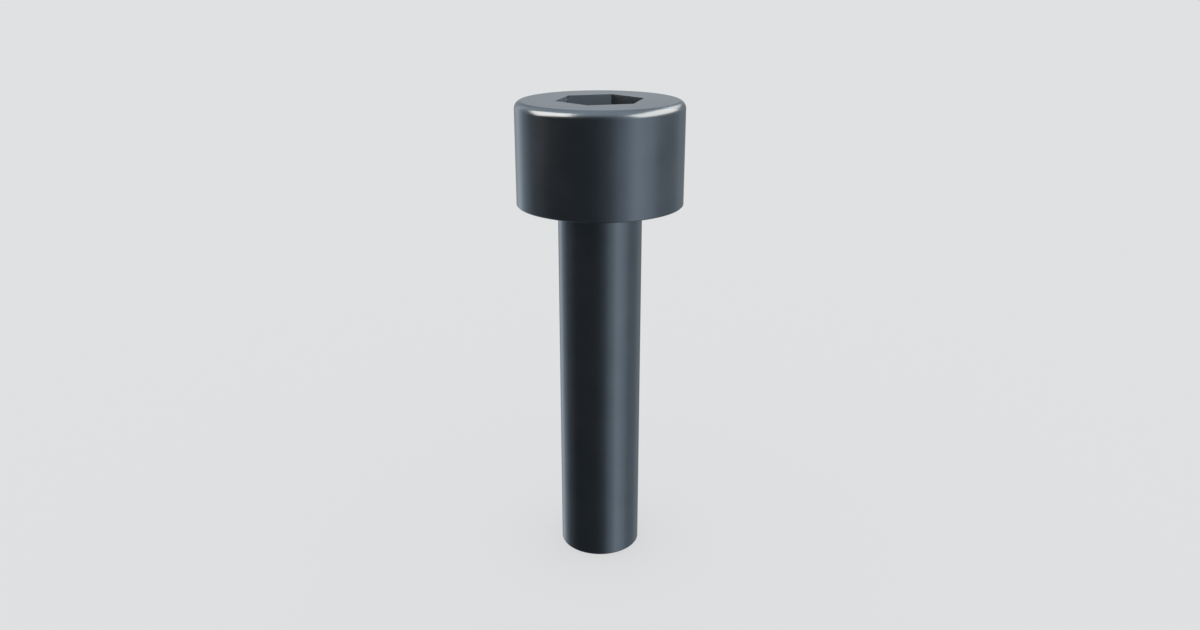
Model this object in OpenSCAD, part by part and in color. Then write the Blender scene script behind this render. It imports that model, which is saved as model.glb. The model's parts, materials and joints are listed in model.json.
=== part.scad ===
/* [Shank] */
// Nominal diameter of the thread that the smooth shank stands for
thread_d = 8; // [6:0.5:10]
// Pitch of that thread
thread_pitch = 1.25; // [0.75:0.25:1.75]
// Length under the head
shank_len = 30; // [16:1:80]
// Edge break around the free end
end_break = 0.05; // [0.05:0.05:0.5]
// Radius of the fillet that carries the shank into the head
neck_fillet = 0.4; // [0.2:0.05:0.8]

/* [Head] */
// Diameter of the head
head_d = 13.1; // [12:0.1:16]
// Height of the head
head_h = 8; // [7:0.1:12]
// Radius that rounds the edge of the top face
top_round = 0.6; // [0.2:0.1:1]
// Edge break around the bearing face
bearing_break = 0.05; // [0.05:0.05:0.4]

/* [Hexagon socket] */
// Width across the flats of the key
key_af = 6; // [4:0.5:7]
// Play between the key and the socket, across the flats
key_play = 0.08; // [0.02:0.02:0.2]
// Depth of the full hexagon, measured at its corners
socket_depth = 4.3; // [3:0.1:5]
// Included angle of the cone that the punch leaves at the bottom
cone_angle = 120; // [100:5:150]

/* [Hidden] */
$fn = 128;
// Bite of one shape into the next, or past the face that it cuts
overrun = 1;
// Height of the sharp 60 degree triangle on which the thread is based
thread_triangle_h = thread_pitch * sqrt(3) / 2;
// The root lies five eighths of that triangle under the crest, on each side
shank_d = thread_d - 2 * 5 / 8 * thread_triangle_h;
// Circle through the six corners of the socket
socket_r = (key_af + key_play) / sqrt(3);
// Depth of the cone below the full hexagon
cone_h = socket_r / tan(cone_angle / 2);
// Height of the socket's deepest point above the bearing face
socket_tip_z = head_h - socket_depth - cone_h;

// Removes a 45 degree edge break of the given leg at a corner of an outline
module edge_break(leg) {
    rotate(45) square(leg * sqrt(2), center = true);
}

// Removes what lies outside an arc of the given radius, at an outline's upper right corner
module corner_round(radius) {
    translate([-radius, -radius]) difference() {
        square(radius + overrun);
        circle(radius);
    }
}

// Fills the inner corner between the shank and the bearing face up to an arc
module neck_blend() {
    difference() {
        translate([shank_d / 2 - overrun, -neck_fillet])
            square([overrun + neck_fillet, neck_fillet + overrun]);
        translate([shank_d / 2 + neck_fillet, -neck_fillet]) circle(neck_fillet);
    }
}

// Half section of the headed blank, from the axis outwards, with the bearing face at zero
module blank_outline() {
    difference() {
        union() {
            translate([0, -shank_len]) square([shank_d / 2, shank_len + overrun]);
            square([head_d / 2, head_h]);
            neck_blend();
        }
        translate([shank_d / 2, -shank_len]) edge_break(end_break);
        translate([head_d / 2, 0]) edge_break(bearing_break);
        translate([head_d / 2, head_h]) corner_round(top_round);
    }
}

// The punch that strikes the socket: a hexagon with two corners on X, turned to a cone at its nose
module socket_punch() {
    punch_h = head_h + overrun - socket_tip_z;
    translate([0, 0, socket_tip_z]) intersection() {
        cylinder(r = socket_r, h = punch_h, $fn = 6);
        cylinder(r1 = 0, r2 = punch_h * tan(cone_angle / 2), h = punch_h);
    }
}

// The whole screw, one forged and turned piece of steel
module cap_screw() {
    color("#4a515c") difference() {
        rotate_extrude() blank_outline();
        socket_punch();
    }
}

cap_screw();
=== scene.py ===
"""Looks of a hexagon socket head cap screw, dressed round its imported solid.

The screw is one piece of black oxidised steel. Its solid fixes every size, and this script builds
the same form again as one fine mesh, gives it its finish, and lights it softly on a pale floor.
"""

import json
import logging
import math
from dataclasses import dataclass, field
from enum import Enum
from typing import Any

import bmesh
import bpy
from mathutils import Matrix, Quaternion, Vector


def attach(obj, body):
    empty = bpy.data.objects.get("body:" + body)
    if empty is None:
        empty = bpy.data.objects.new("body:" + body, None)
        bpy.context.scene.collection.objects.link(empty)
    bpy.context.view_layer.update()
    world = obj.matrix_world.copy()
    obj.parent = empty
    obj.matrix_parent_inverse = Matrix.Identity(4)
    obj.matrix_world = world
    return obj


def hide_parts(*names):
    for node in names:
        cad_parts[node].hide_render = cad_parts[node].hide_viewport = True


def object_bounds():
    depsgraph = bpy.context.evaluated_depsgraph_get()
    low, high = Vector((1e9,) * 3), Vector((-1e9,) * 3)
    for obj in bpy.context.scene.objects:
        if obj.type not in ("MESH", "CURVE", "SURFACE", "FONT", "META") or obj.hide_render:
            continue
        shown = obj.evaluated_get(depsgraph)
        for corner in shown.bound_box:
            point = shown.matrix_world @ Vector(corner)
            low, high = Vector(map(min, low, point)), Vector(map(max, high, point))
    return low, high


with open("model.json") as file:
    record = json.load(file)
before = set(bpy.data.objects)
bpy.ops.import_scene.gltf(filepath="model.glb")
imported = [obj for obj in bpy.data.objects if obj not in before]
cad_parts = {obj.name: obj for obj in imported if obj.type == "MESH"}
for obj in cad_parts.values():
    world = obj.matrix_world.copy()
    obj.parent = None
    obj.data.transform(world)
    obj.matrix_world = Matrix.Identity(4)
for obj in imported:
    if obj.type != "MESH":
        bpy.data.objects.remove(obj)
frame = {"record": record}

CAD_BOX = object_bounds()
MM = 0.001
NODE = "cap_screw"
BODY = "root"
SOCKET_AF_MM = 6.08
# Two heights or radii that differ by less than this many millimetres are the same
SAME_MM = 0.001
# Nearly all values of a noise texture lie between these two
NOISE_RANGE = (0.35, 0.65)
# Sockets of a mix node, which has a pair of inputs for each type of data
MIX_FACTOR, MIX_VALUE_A, MIX_VALUE_B, MIX_COLOUR_A, MIX_COLOUR_B = 0, 2, 3, 6, 7
MIX_COLOUR_RESULT = 2
BACKDROP = "#e0e1e2"
PHOTO_WIDTH_PX = 1200
SENSOR_WIDTH_MM = 36.0

log = logging.getLogger("cap_screw")


def linear(hex_colour: str) -> tuple[float, float, float, float]:
    """Turns an sRGB hex colour into the linear colour that a shader takes.

    Args:
        hex_colour: Six hex digits after a hash, such as "#4a515c".

    Returns:
        Linear red, green and blue, and an alpha of one.
    """
    parts = (int(hex_colour[i:i + 2], 16) / 255 for i in (1, 3, 5))
    red, green, blue = (c / 12.92 if c <= 0.04045 else ((c + 0.055) / 1.055) ** 2.4 for c in parts)
    return red, green, blue, 1.0


def per_feature(size_mm: float) -> float:
    """Returns the texture scale that gives a pattern features of this size in millimetres."""
    return 1 / (size_mm * MM)


def add_node(tree: bpy.types.NodeTree, kind: str, settings: dict[str, Any] | None = None,
             inputs: dict[Any, Any] | None = None) -> bpy.types.Node:
    """Adds a node with its settings, its constants and its links.

    Args:
        tree: The node tree of a material or of the world.
        kind: The node's type name.
        settings: Values for the node's own properties.
        inputs: For each input socket, by name or number, a constant or the output that feeds it.

    Returns:
        The new node.
    """
    node = tree.nodes.new(kind)
    for name, value in (settings or {}).items():
        setattr(node, name, value)
    for socket, value in (inputs or {}).items():
        if isinstance(value, bpy.types.NodeSocket):
            tree.links.new(value, node.inputs[socket])
        else:
            node.inputs[socket].default_value = value
    return node


def direction(azimuth_deg: float, elevation_deg: float) -> Vector:
    """Points from the screw to a place round it.

    Args:
        azimuth_deg: Angle about Z, zero towards -Y and growing towards +X.
        elevation_deg: Angle above the horizon.

    Returns:
        A unit vector.
    """
    azimuth, elevation = math.radians(azimuth_deg), math.radians(elevation_deg)
    flat = math.cos(elevation)
    return Vector((math.sin(azimuth) * flat, -math.cos(azimuth) * flat, math.sin(elevation)))


@dataclass(frozen=True)
class BlackOxideSteel:
    """Cold forged alloy steel, tumbled and black oxidised, lightly oiled.

    The oxide is a thin dark film over metal, so the eye sees a blue grey, satin metal that
    mirrors its surroundings softly. Tumbling leaves a fine even grain, the die leaves faint lines
    along the axis, and the film wears thin first on the sharp edges. The socket's walls, which
    the tumbling doesn't reach, stay a little more matt, as the punch left them.
    """

    film_dark: str = "#59636c"
    film_light: str = "#677079"
    worn: str = "#8b9298"
    edge_tint: str = "#f0f3f6"
    roughness: float = 0.25
    roughness_spread: float = 0.02
    struck_roughness: float = 0.265
    patch_mm: float = 3.0
    # The tumbled grain is really about 0.02 mm, too fine to show, so it is drawn coarser
    grain_mm: float = 0.12
    grain_depth_mm: float = 0.0004
    # The die's lines are really about 0.03 mm wide, too fine to show, so they are drawn coarser
    draw_line_mm: float = 0.16
    draw_line_run_mm: float = 9.0
    draw_line_depth_mm: float = 0.0003

    def material(self) -> bpy.types.Material:
        """Builds the finish.

        Returns:
            A material that reads object coordinates and the piece's worn_edge and struck_wall
            attributes.
        """
        made = bpy.data.materials.new("black_oxidised_steel")
        made.use_nodes = True
        tree = made.node_tree
        tree.nodes.clear()
        place = add_node(tree, "ShaderNodeTexCoord").outputs["Object"]
        patches = self._pattern(tree, place, self.patch_mm, detail=3.0)
        grain = self._pattern(tree, place, self.grain_mm, detail=2.0)
        lines = self._draw_lines(tree, place)
        shader = add_node(tree, "ShaderNodeBsdfPrincipled", inputs={
            "Metallic": 1.0,
            "Specular Tint": linear(self.edge_tint),
            "Base Color": self._colour(tree, patches),
            "Roughness": self._roughness(tree, patches, grain),
            "Normal": self._relief(tree, grain, lines),
        })
        add_node(tree, "ShaderNodeOutputMaterial", inputs={"Surface": shader.outputs["BSDF"]})
        return made

    def _pattern(self, tree: bpy.types.NodeTree, place: bpy.types.NodeSocket, size_mm: float,
                 detail: float) -> bpy.types.NodeSocket:
        """Adds an uneven pattern of the skin, with features of the given size.

        Args:
            tree: The material's node tree.
            place: Where the pattern is read.
            size_mm: Size of a feature in millimetres.
            detail: Number of finer octaves.

        Returns:
            A value around one half.
        """
        noise = add_node(tree, "ShaderNodeTexNoise",
                         inputs={"Vector": place, "Scale": per_feature(size_mm), "Detail": detail})
        return noise.outputs["Fac"]

    def _draw_lines(self, tree: bpy.types.NodeTree, place: bpy.types.NodeSocket) -> bpy.types.NodeSocket:
        """Adds the die's lines: a pattern that is fine across the axis and long along it.

        Args:
            tree: The material's node tree.
            place: Where the pattern is read.

        Returns:
            A value around one half.
        """
        along = self.draw_line_mm / self.draw_line_run_mm
        stretched = add_node(tree, "ShaderNodeMapping", inputs={"Vector": place, "Scale": (1.0, 1.0, along)})
        return self._pattern(tree, stretched.outputs["Vector"], self.draw_line_mm, detail=1.0)

    def _colour(self, tree: bpy.types.NodeTree, patches: bpy.types.NodeSocket) -> bpy.types.NodeSocket:
        """Mixes the film's two greys in patches, and thins it on the edges.

        Args:
            tree: The material's node tree.
            patches: The patch pattern.

        Returns:
            The base colour.
        """
        film = add_node(tree, "ShaderNodeMix", {"data_type": "RGBA"}, {
            MIX_FACTOR: patches,
            MIX_COLOUR_A: linear(self.film_dark),
            MIX_COLOUR_B: linear(self.film_light),
        })
        edge = add_node(tree, "ShaderNodeAttribute", {"attribute_name": "worn_edge"})
        thin = add_node(tree, "ShaderNodeMath", {"operation": "MULTIPLY"},
                        {0: edge.outputs["Fac"], 1: patches})
        worn = add_node(tree, "ShaderNodeMix", {"data_type": "RGBA"}, {
            MIX_FACTOR: thin.outputs[0],
            MIX_COLOUR_A: film.outputs[MIX_COLOUR_RESULT],
            MIX_COLOUR_B: linear(self.worn),
        })
        return worn.outputs[MIX_COLOUR_RESULT]

    def _roughness(self, tree: bpy.types.NodeTree, *patterns: bpy.types.NodeSocket) -> bpy.types.NodeSocket:
        """Lets the gloss wander with the surface's patterns, and dulls the socket's walls.

        Args:
            tree: The material's node tree.
            patterns: Values around one half.

        Returns:
            The roughness.
        """
        total = patterns[0]
        for pattern in patterns[1:]:
            total = add_node(tree, "ShaderNodeMath", {"operation": "ADD"}, {0: total, 1: pattern}).outputs[0]
        low, high = NOISE_RANGE
        ranged = add_node(tree, "ShaderNodeMapRange", inputs={
            "Value": total,
            "From Min": low * len(patterns),
            "From Max": high * len(patterns),
            "To Min": self.roughness - self.roughness_spread,
            "To Max": self.roughness + self.roughness_spread,
        })
        struck = add_node(tree, "ShaderNodeAttribute", {"attribute_name": "struck_wall"})
        mixed = add_node(tree, "ShaderNodeMix", inputs={
            MIX_FACTOR: struck.outputs["Fac"],
            MIX_VALUE_A: ranged.outputs["Result"],
            MIX_VALUE_B: self.struck_roughness,
        })
        return mixed.outputs[0]

    def _relief(self, tree: bpy.types.NodeTree, grain: bpy.types.NodeSocket,
                lines: bpy.types.NodeSocket) -> bpy.types.NodeSocket:
        """Raises the grain and the die's lines.

        Args:
            tree: The material's node tree.
            grain: The grain pattern.
            lines: The lines' pattern.

        Returns:
            The shading normal.
        """
        coarse = add_node(tree, "ShaderNodeBump",
                          inputs={"Strength": 1.0, "Distance": self.draw_line_depth_mm * MM, "Height": lines})
        fine = add_node(tree, "ShaderNodeBump", inputs={
            "Strength": 1.0,
            "Distance": self.grain_depth_mm * MM,
            "Height": grain,
            "Normal": coarse.outputs["Normal"],
        })
        return fine.outputs["Normal"]


@dataclass(frozen=True)
class PaleCard:
    """Matt pale card under an even light, so the eye sees a bare floor with hardly a shadow."""

    colour: str = BACKDROP
    evenness: float = 0.72

    def material(self) -> bpy.types.Material:
        """Builds the finish.

        Returns:
            A material without gloss, most of whose light doesn't depend on the lamps.
        """
        made = bpy.data.materials.new("matt_pale_card")
        made.use_nodes = True
        tree = made.node_tree
        tree.nodes.clear()
        card = add_node(tree, "ShaderNodeBsdfDiffuse", inputs={"Color": linear(self.colour)})
        even = add_node(tree, "ShaderNodeEmission", inputs={"Color": linear(self.colour)})
        mixed = add_node(tree, "ShaderNodeMixShader",
                         inputs={0: self.evenness, 1: card.outputs[0], 2: even.outputs[0]})
        add_node(tree, "ShaderNodeOutputMaterial", inputs={"Surface": mixed.outputs[0]})
        return made


class Rim(Enum):
    """How the edge between two turned faces is finished: facets across it, and wear of its film."""

    BROKEN = (1, 1.0)
    FILLETED = (8, 0.0)
    ROUNDED = (12, 0.3)

    def __init__(self, facets: int, wear: float) -> None:
        """Keeps the number of facets, and the wear from zero to one."""
        self.facets = facets
        self.wear = wear


@dataclass
class CapScrew:
    """The whole screw as one closed mesh, in millimetres until it is finished."""

    steel: BlackOxideSteel
    head_r: float
    shank_r: float
    end_z: float
    top_z: float
    top_round: float = 0.6
    neck_fillet: float = 0.4
    bearing_break: float = 0.05
    end_break: float = 0.05
    socket_af: float = SOCKET_AF_MM
    socket_depth: float = 4.3
    cone_angle_deg: float = 120.0
    cone_rings: int = 4
    segments: int = 240
    crisp_angle_deg: float = 20.0
    mesh: bmesh.types.BMesh = field(default_factory=bmesh.new)

    @classmethod
    def from_frame(cls, record: dict[str, Any], steel: BlackOxideSteel) -> "CapScrew":
        """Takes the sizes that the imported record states.

        Args:
            record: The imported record.
            steel: The finish.

        Returns:
            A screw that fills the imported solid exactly.
        """
        mounts = {mount["name"]: mount for mount in record["mounts"]}
        return cls(
            steel=steel,
            head_r=mounts["head_side"]["dims"]["r_mm"],
            shank_r=mounts["shank"]["dims"]["r_mm"],
            end_z=mounts["end_face"]["pos_m"][2] / MM,
            top_z=mounts["head_top"]["pos_m"][2] / MM,
        )

    @property
    def socket_r(self) -> float:
        """Radius of the circle through the socket's corners."""
        return self.socket_af / math.sqrt(3)

    @property
    def cone_rise(self) -> float:
        """How much the socket's bottom cone rises for each unit of its radius."""
        return 1 / math.tan(math.radians(self.cone_angle_deg / 2))

    @property
    def cone_tip_z(self) -> float:
        """Height of the socket's deepest point."""
        return self.top_z - self.socket_depth - self.socket_r * self.cone_rise

    def build(self) -> bpy.types.Object:
        """Models the screw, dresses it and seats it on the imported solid.

        Returns:
            The finished piece.
        """
        worn = self.mesh.faces.layers.float.new("worn_edge")
        top_rim = self._turn_blank()
        self._strike_socket(top_rim)
        bmesh.ops.recalc_face_normals(self.mesh, faces=self.mesh.faces)
        self._finish_rim(self.head_r, self.top_z, self.top_round, Rim.ROUNDED, worn)
        self._finish_rim(self.head_r, 0.0, self.bearing_break, Rim.BROKEN, worn)
        self._finish_rim(self.shank_r, 0.0, self.neck_fillet, Rim.FILLETED, worn)
        self._finish_rim(self.shank_r, self.end_z, self.end_break, Rim.BROKEN, worn)
        self._mark_struck_walls()
        self._shade()
        return self._place()

    def _turn_blank(self) -> list[bmesh.types.BMEdge]:
        """Turns the plain outline into the headed blank, open at the top.

        Returns:
            The edges round the open top.
        """
        corners = (
            (self.shank_r, self.end_z),
            (self.shank_r, 0.0),
            (self.head_r, 0.0),
            (self.head_r, self.top_z),
        )
        points = [self.mesh.verts.new((radius, 0.0, height)) for radius, height in corners]
        outline = [self.mesh.edges.new(pair) for pair in zip(points, points[1:])]
        bmesh.ops.spin(self.mesh, geom=points + outline, cent=(0, 0, 0), axis=(0, 0, 1),
                       angle=math.tau, steps=self.segments, use_merge=True)
        end_rim = [edge for edge in self.mesh.edges if edge.is_boundary and self._at_height(edge, self.end_z)]
        bmesh.ops.holes_fill(self.mesh, edges=end_rim, sides=self.segments)
        return [edge for edge in self.mesh.edges if edge.is_boundary]

    def _strike_socket(self, top_rim: list[bmesh.types.BMEdge]) -> None:
        """Closes the top with a hexagon socket whose bottom is a turned cone.

        Args:
            top_rim: The edges round the open top.
        """
        corner_on_x = Matrix.Translation((0, 0, self.top_z)) @ Matrix.Rotation(math.radians(30), 4, "Z")
        hexagon = bmesh.ops.create_circle(self.mesh, segments=6, radius=self.socket_r, matrix=corner_on_x)
        sides = list(dict.fromkeys(edge for vert in hexagon["verts"] for edge in vert.link_edges))
        bmesh.ops.subdivide_edges(self.mesh, edges=sides, cuts=self.segments // 6 - 1)
        mouth = [edge for edge in self.mesh.edges if edge.is_wire]
        bmesh.ops.bridge_loops(self.mesh, edges=top_rim + mouth)
        rim = self._extrude_down(mouth)
        for vert in self._verts(rim):
            vert.co.z = self.cone_tip_z + vert.co.xy.length * self.cone_rise
        for ring in range(self.cone_rings, 0, -1):
            rim = self._extrude_down(rim)
            for vert in self._verts(rim):
                vert.co.xy *= (ring - 1) / ring
                vert.co.z = self.cone_tip_z + vert.co.xy.length * self.cone_rise
        bmesh.ops.remove_doubles(self.mesh, verts=self._verts(rim), dist=SAME_MM)

    def _extrude_down(self, edges: list[bmesh.types.BMEdge]) -> list[bmesh.types.BMEdge]:
        """Extrudes a loop of edges in place and returns the new loop's edges."""
        made = bmesh.ops.extrude_edge_only(self.mesh, edges=edges)["geom"]
        return [item for item in made if isinstance(item, bmesh.types.BMEdge) and item.is_boundary]

    def _finish_rim(self, radius: float, height: float, size: float, rim: Rim,
                    worn: bmesh.types.BMLayerItem) -> None:
        """Rounds, fillets or breaks one turned edge.

        Args:
            radius: The edge's radius.
            height: The edge's height.
            size: Radius of the rounding, or leg of the break.
            rim: How the edge is finished.
            worn: The layer that marks worn faces.
        """
        edges = [edge for edge in self.mesh.edges if self._on_circle(edge, radius, height)]
        made = bmesh.ops.bevel(self.mesh, geom=edges, offset=size, offset_type="OFFSET",
                               segments=rim.facets, profile=0.5, affect="EDGES", material=-1)
        for face in made["faces"]:
            face[worn] = rim.wear

    def _mark_struck_walls(self) -> None:
        """Marks the faces inside the socket, which keep the punch's matt skin."""
        struck = self.mesh.faces.layers.float.new("struck_wall")
        for face in self.mesh.faces:
            centre = face.calc_center_median()
            inside = self.cone_tip_z < centre.z < self.top_z - SAME_MM
            face[struck] = float(inside and centre.xy.length < self.socket_r)

    def _shade(self) -> None:
        """Smooths all faces and keeps the edges crisp that meet at a clear angle."""
        for face in self.mesh.faces:
            face.smooth = True
        crisp = math.radians(self.crisp_angle_deg)
        for edge in self.mesh.edges:
            edge.smooth = abs(edge.calc_face_angle_signed(0.0)) < crisp

    def _place(self) -> bpy.types.Object:
        """Makes the piece from the mesh, in metres, and seats it.

        Returns:
            The finished piece.
        """
        draft = bpy.data.meshes.new("screw_in_mm")
        self.mesh.to_mesh(draft)
        self.mesh.free()
        draft.materials.append(self.steel.material())
        piece = bpy.data.objects.new("screw", draft)
        bpy.context.scene.collection.objects.link(piece)
        piece.data = self._even_normals(piece)
        bpy.data.meshes.remove(draft)
        piece.data.transform(Matrix.Scale(MM, 4))
        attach(piece, BODY)
        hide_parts(NODE)
        return piece

    @staticmethod
    def _even_normals(piece: bpy.types.Object) -> bpy.types.Mesh:
        """Keeps the flat faces flat right up to their rounded edges.

        The faces are weighed in millimetres, because in metres they are too small to tell apart.

        Args:
            piece: The piece, still in millimetres.

        Returns:
            Its mesh with the weighed normals.
        """
        even = piece.modifiers.new("even_normals", "WEIGHTED_NORMAL")
        even.keep_sharp = True
        even.weight = 100
        dressed = piece.evaluated_get(bpy.context.evaluated_depsgraph_get())
        weighed = bpy.data.meshes.new_from_object(dressed)
        piece.modifiers.remove(even)
        return weighed

    def _at_height(self, edge: bmesh.types.BMEdge, height: float) -> bool:
        """Tells whether an edge lies flat at this height."""
        return all(abs(vert.co.z - height) < SAME_MM for vert in edge.verts)

    def _on_circle(self, edge: bmesh.types.BMEdge, radius: float, height: float) -> bool:
        """Tells whether an edge is part of the circle of this radius at this height."""
        near = all(abs(vert.co.xy.length - radius) < SAME_MM for vert in edge.verts)
        return near and self._at_height(edge, height)

    @staticmethod
    def _verts(edges: list[bmesh.types.BMEdge]) -> list[bmesh.types.BMVert]:
        """Returns each end of the edges once, always in the same order."""
        return list(dict.fromkeys(vert for edge in edges for vert in edge.verts))


@dataclass(frozen=True)
class Softbox:
    """A large rectangular light, aimed at the screw's head, placed as seen from the camera."""

    name: str
    azimuth_deg: float
    elevation_deg: float
    width_deg: float
    height_deg: float
    radiance: float
    roll_deg: float = 0.0
    colour: str = "#ffecd9"
    distance_m: float = 0.4

    def build(self, camera_azimuth_deg: float, lit: bpy.types.Collection) -> bpy.types.Object:
        """Makes the light.

        Args:
            camera_azimuth_deg: Where the camera stands.
            lit: The pieces that it lights.

        Returns:
            The light's object.
        """
        width = 2 * self.distance_m * math.tan(math.radians(self.width_deg / 2))
        height = 2 * self.distance_m * math.tan(math.radians(self.height_deg / 2))
        lamp = bpy.data.lights.new(self.name, "AREA")
        lamp.shape = "RECTANGLE"
        lamp.size, lamp.size_y = width, height
        # A matt glowing sheet sends out pi times its radiance from each unit of its area
        lamp.energy = self.radiance * math.pi * width * height
        lamp.color = linear(self.colour)[:3]
        light = bpy.data.objects.new(self.name, lamp)
        towards = direction(camera_azimuth_deg + self.azimuth_deg, self.elevation_deg)
        light.location = towards * self.distance_m
        rolled = Quaternion((0, 0, 1), math.radians(self.roll_deg))
        light.rotation_euler = (towards.to_track_quat("Z", "Y") @ rolled).to_euler()
        light.visible_camera = False
        light.light_linking.receiver_collection = lit
        bpy.context.scene.collection.objects.link(light)
        return light


@dataclass(frozen=True)
class Snoot:
    """A narrow beam that reaches into the socket and shows one of its walls."""

    name: str
    wall_deg: float
    azimuth_deg: float
    elevation_deg: float
    beam_mm: float
    irradiance: float
    wall_from_axis_mm: float = SOCKET_AF_MM / 2
    lamp_mm: float = 2.0
    soft_rim: float = 0.5
    distance_m: float = 0.15

    def build(self, camera_azimuth_deg: float, mouth_z: float,
              lit: bpy.types.Collection) -> bpy.types.Object:
        """Makes the light.

        Args:
            camera_azimuth_deg: Where the camera stands.
            mouth_z: Height of the socket's mouth, in metres.
            lit: The pieces that it lights.

        Returns:
            The light's object.
        """
        lamp = bpy.data.lights.new(self.name, "SPOT")
        lamp.spot_size = 2 * math.atan(self.beam_mm * MM / 2 / self.distance_m)
        lamp.spot_blend = self.soft_rim
        lamp.shadow_soft_size = self.lamp_mm * MM / 2
        # A spot's power is stated as if it shone all round, over the whole sphere at this distance
        lamp.energy = self.irradiance * 4 * math.pi * self.distance_m ** 2
        light = bpy.data.objects.new(self.name, lamp)
        wall = direction(camera_azimuth_deg + self.wall_deg, 0) * self.wall_from_axis_mm * MM
        wall.z = mouth_z
        towards = direction(camera_azimuth_deg + self.azimuth_deg, self.elevation_deg)
        light.location = wall + towards * self.distance_m
        light.rotation_euler = towards.to_track_quat("Z", "Y").to_euler()
        light.visible_camera = False
        light.light_linking.receiver_collection = lit
        bpy.context.scene.collection.objects.link(light)
        return light


@dataclass(frozen=True)
class Dome:
    """The room round the screw: an even pale light for the floor, and soft panels for the steel to mirror.

    The panels stand round the screw in a ring, given by their angle from the camera and their
    brightness. The ring fades upwards into the ceiling, and downwards into the screw's own shade.
    """

    pale: str = BACKDROP
    tint: str = "#f2f7fb"
    ring: tuple[tuple[float, float], ...] = (
        (-180, 0.75), (-160, 0.54), (-140, 1.40), (-120, 0.64), (-100, 0.22), (-70, 0.09), (-40, 0.10),
        (-10, 0.11), (10, 0.20), (30, 0.62), (50, 1.16), (70, 0.90), (90, 0.53), (115, 0.52), (135, 0.65),
        (155, 0.38), (180, 0.75),
    )
    ceiling: float = 1.15
    ceiling_deg: tuple[float, float] = (12.0, 72.0)
    shade: float = 0.12
    shade_deg: tuple[float, float] = (-40.0, -70.0)

    def build(self, camera_azimuth_deg: float) -> bpy.types.World:
        """Makes the world.

        Args:
            camera_azimuth_deg: Where the camera stands.

        Returns:
            The scene's world.
        """
        world = bpy.data.worlds.new("studio")
        world.use_nodes = True
        tree = world.node_tree
        tree.nodes.clear()
        rays = add_node(tree, "ShaderNodeLightPath").outputs
        even = add_node(tree, "ShaderNodeBackground", inputs={"Color": linear("#ffffff")})
        seen = add_node(tree, "ShaderNodeBackground", inputs={"Color": linear(self.pale)})
        room = add_node(tree, "ShaderNodeBackground", inputs={
            "Color": linear(self.tint),
            "Strength": self._brightness(tree, camera_azimuth_deg),
        })
        mirrored = add_node(tree, "ShaderNodeMixShader",
                            inputs={0: rays["Is Glossy Ray"], 1: even.outputs[0], 2: room.outputs[0]})
        shown = add_node(tree, "ShaderNodeMixShader",
                         inputs={0: rays["Is Camera Ray"], 1: mirrored.outputs[0], 2: seen.outputs[0]})
        add_node(tree, "ShaderNodeOutputWorld", inputs={"Surface": shown.outputs[0]})
        world.cycles.sampling_method = "NONE"
        bpy.context.scene.world = world
        return world

    def _brightness(self, tree: bpy.types.NodeTree, camera_azimuth_deg: float) -> bpy.types.NodeSocket:
        """Works out the room's brightness in the direction of a ray.

        Args:
            tree: The world's node tree.
            camera_azimuth_deg: Where the camera stands.

        Returns:
            The brightness.
        """
        towards = add_node(tree, "ShaderNodeTexCoord").outputs["Generated"]
        turned = add_node(tree, "ShaderNodeMapping", {"vector_type": "POINT"}, {
            "Vector": towards,
            "Rotation": (0.0, 0.0, -math.radians(camera_azimuth_deg)),
        })
        part = add_node(tree, "ShaderNodeSeparateXYZ", inputs={0: turned.outputs[0]}).outputs
        back = add_node(tree, "ShaderNodeMath", {"operation": "MULTIPLY"}, {0: part["Y"], 1: -1.0})
        angle = add_node(tree, "ShaderNodeMath", {"operation": "ARCTAN2"}, {0: part["X"], 1: back.outputs[0]})
        around = add_node(tree, "ShaderNodeMapRange", inputs={
            "Value": angle.outputs[0],
            "From Min": -math.pi,
            "From Max": math.pi,
        })
        ring = add_node(tree, "ShaderNodeValToRGB", inputs={0: around.outputs[0]})
        self._set_stops(ring.color_ramp)
        height = add_node(tree, "ShaderNodeMath", {"operation": "ARCSINE"}, {0: part["Z"]}).outputs[0]
        above = self._fade(tree, ring.outputs[0], self.ceiling, height, self.ceiling_deg)
        return self._fade(tree, above, self.shade, height, self.shade_deg)

    def _fade(self, tree: bpy.types.NodeTree, base: bpy.types.NodeSocket, end: float,
              height: bpy.types.NodeSocket, span_deg: tuple[float, float]) -> bpy.types.NodeSocket:
        """Fades from one brightness to another between two heights above the horizon.

        Args:
            tree: The world's node tree.
            base: The brightness before the fade.
            end: The brightness after it.
            height: The ray's angle above the horizon, in radians.
            span_deg: The angles between which it fades.

        Returns:
            The faded brightness.
        """
        step = add_node(tree, "ShaderNodeMapRange", {"interpolation_type": "SMOOTHSTEP"}, {
            "Value": height,
            "From Min": math.radians(span_deg[0]),
            "From Max": math.radians(span_deg[1]),
        })
        mixed = add_node(tree, "ShaderNodeMix",
                         inputs={MIX_FACTOR: step.outputs[0], MIX_VALUE_A: base, MIX_VALUE_B: end})
        return mixed.outputs[0]

    def _set_stops(self, ramp: bpy.types.ColorRamp) -> None:
        """Writes the ring's panels into a ramp that runs once round the screw."""
        ramp.interpolation = "EASE"
        while len(ramp.elements) < len(self.ring):
            ramp.elements.new(0.5)
        for stop, (angle_deg, brightness) in zip(ramp.elements, self.ring):
            stop.position = (angle_deg + 180) / 360
            stop.color = (brightness, brightness, brightness, 1.0)


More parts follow.
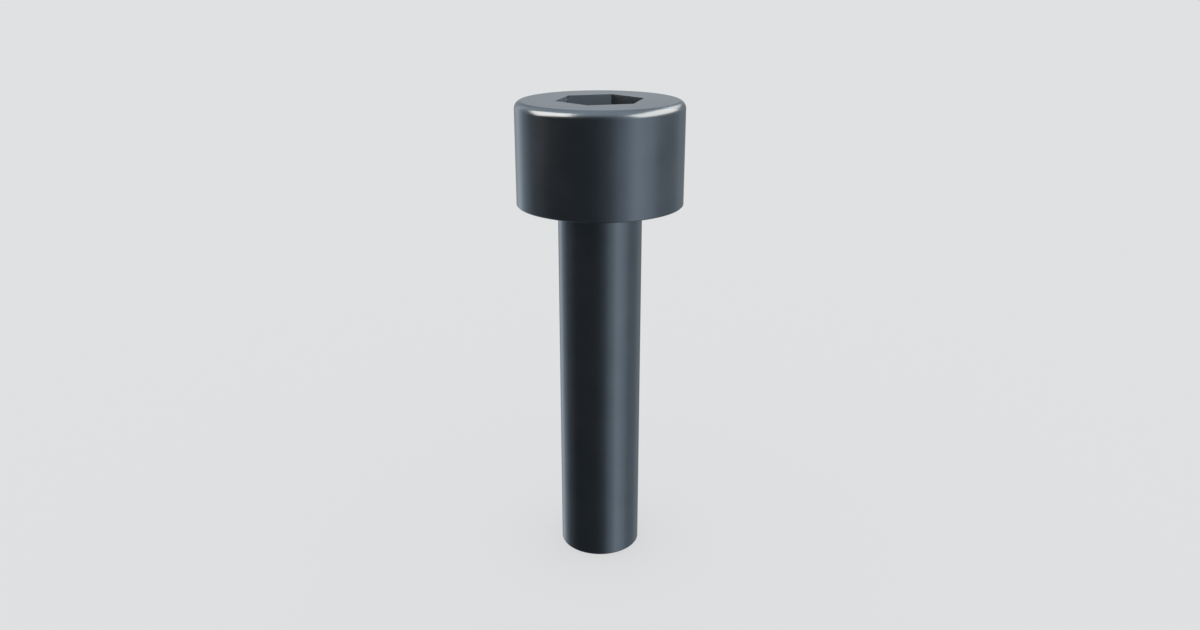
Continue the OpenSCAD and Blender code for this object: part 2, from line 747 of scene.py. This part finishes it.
@dataclass(frozen=True)
class Floor:
    """A plain pale floor, wide enough to fill the picture."""

    card: PaleCard = PaleCard()
    radius_m: float = 20.0
    sides: int = 64

    def build(self, height: float) -> bpy.types.Object:
        """Makes the floor.

        Args:
            height: Where it lies.

        Returns:
            The floor's object.
        """
        mesh = bmesh.new()
        bmesh.ops.create_circle(mesh, cap_ends=True, segments=self.sides, radius=self.radius_m,
                                matrix=Matrix.Translation((0, 0, height)))
        data = bpy.data.meshes.new("floor")
        mesh.to_mesh(data)
        mesh.free()
        data.materials.append(self.card.material())
        floor = bpy.data.objects.new("floor", data)
        floor.visible_glossy = False
        bpy.context.scene.collection.objects.link(floor)
        return floor


@dataclass(frozen=True)
class View:
    """The photograph's point of view, a little above the head and turned to the socket's corner."""

    azimuth_deg: float = 45.0
    elevation_deg: float = 19.56
    distance_mm: float = 79.83
    below_top_mm: float = 17.374
    focal_px: float = 974.3

    def build(self, top_z: float) -> bpy.types.Object:
        """Makes the camera and hands it to the scene.

        Args:
            top_z: Height of the head's top, in metres.

        Returns:
            The camera's object.
        """
        lens = bpy.data.cameras.new("camera")
        lens.sensor_width = SENSOR_WIDTH_MM
        lens.lens = self.focal_px / PHOTO_WIDTH_PX * SENSOR_WIDTH_MM
        lens.clip_start = MM
        camera = bpy.data.objects.new("camera", lens)
        towards = direction(self.azimuth_deg, self.elevation_deg)
        target = Vector((0, 0, top_z - self.below_top_mm * MM))
        camera.location = target + towards * self.distance_mm * MM
        camera.rotation_euler = towards.to_track_quat("Z", "Y").to_euler()
        bpy.context.scene.collection.objects.link(camera)
        bpy.context.scene.camera = camera
        return camera


@dataclass(frozen=True)
class Studio:
    """Floor, room, soft boxes and camera."""

    view: View = View()
    floor: Floor = Floor()
    dome: Dome = Dome()
    softboxes: tuple[Softbox, ...] = (
        Softbox("left_box", azimuth_deg=-77, elevation_deg=32, width_deg=56, height_deg=42, radiance=5.6,
                roll_deg=32),
        Softbox("right_box", azimuth_deg=88, elevation_deg=31, width_deg=76, height_deg=41, radiance=4.2,
                roll_deg=6),
        Softbox("back_box", azimuth_deg=144, elevation_deg=28, width_deg=24, height_deg=18, radiance=2.7,
                colour="#fbf3ea"),
    )
    snoots: tuple[Snoot, ...] = (
        Snoot("middle_wall_beam", wall_deg=195, azimuth_deg=30, elevation_deg=28, beam_mm=7, irradiance=10.4),
        Snoot("left_wall_beam", wall_deg=255, azimuth_deg=104, elevation_deg=10, beam_mm=4, irradiance=16.5),
    )

    def build(self, screw: bpy.types.Object) -> None:
        """Sets up the whole studio round the screw.

        Args:
            screw: The piece to light.
        """
        low, high = CAD_BOX
        self.floor.build(low.z)
        self.view.build(high.z)
        self.dome.build(self.view.azimuth_deg)
        lit = bpy.data.collections.new("lit_by_softboxes")
        lit.objects.link(screw)
        for softbox in self.softboxes:
            softbox.build(self.view.azimuth_deg, lit)
            log.info("light %s", softbox.name)
        for snoot in self.snoots:
            snoot.build(self.view.azimuth_deg, high.z, lit)
            log.info("light %s", snoot.name)
        bpy.context.scene.view_settings.view_transform = "Standard"


def main() -> None:
    """Builds the screw, then the studio round it."""
    logging.basicConfig(level=logging.INFO, format="%(message)s")
    screw = CapScrew.from_frame(frame["record"], BlackOxideSteel()).build()
    log.info("piece %s: %d faces", screw.name, len(screw.data.polygons))
    Studio().build(screw)


if __name__ == "__main__":
    main()
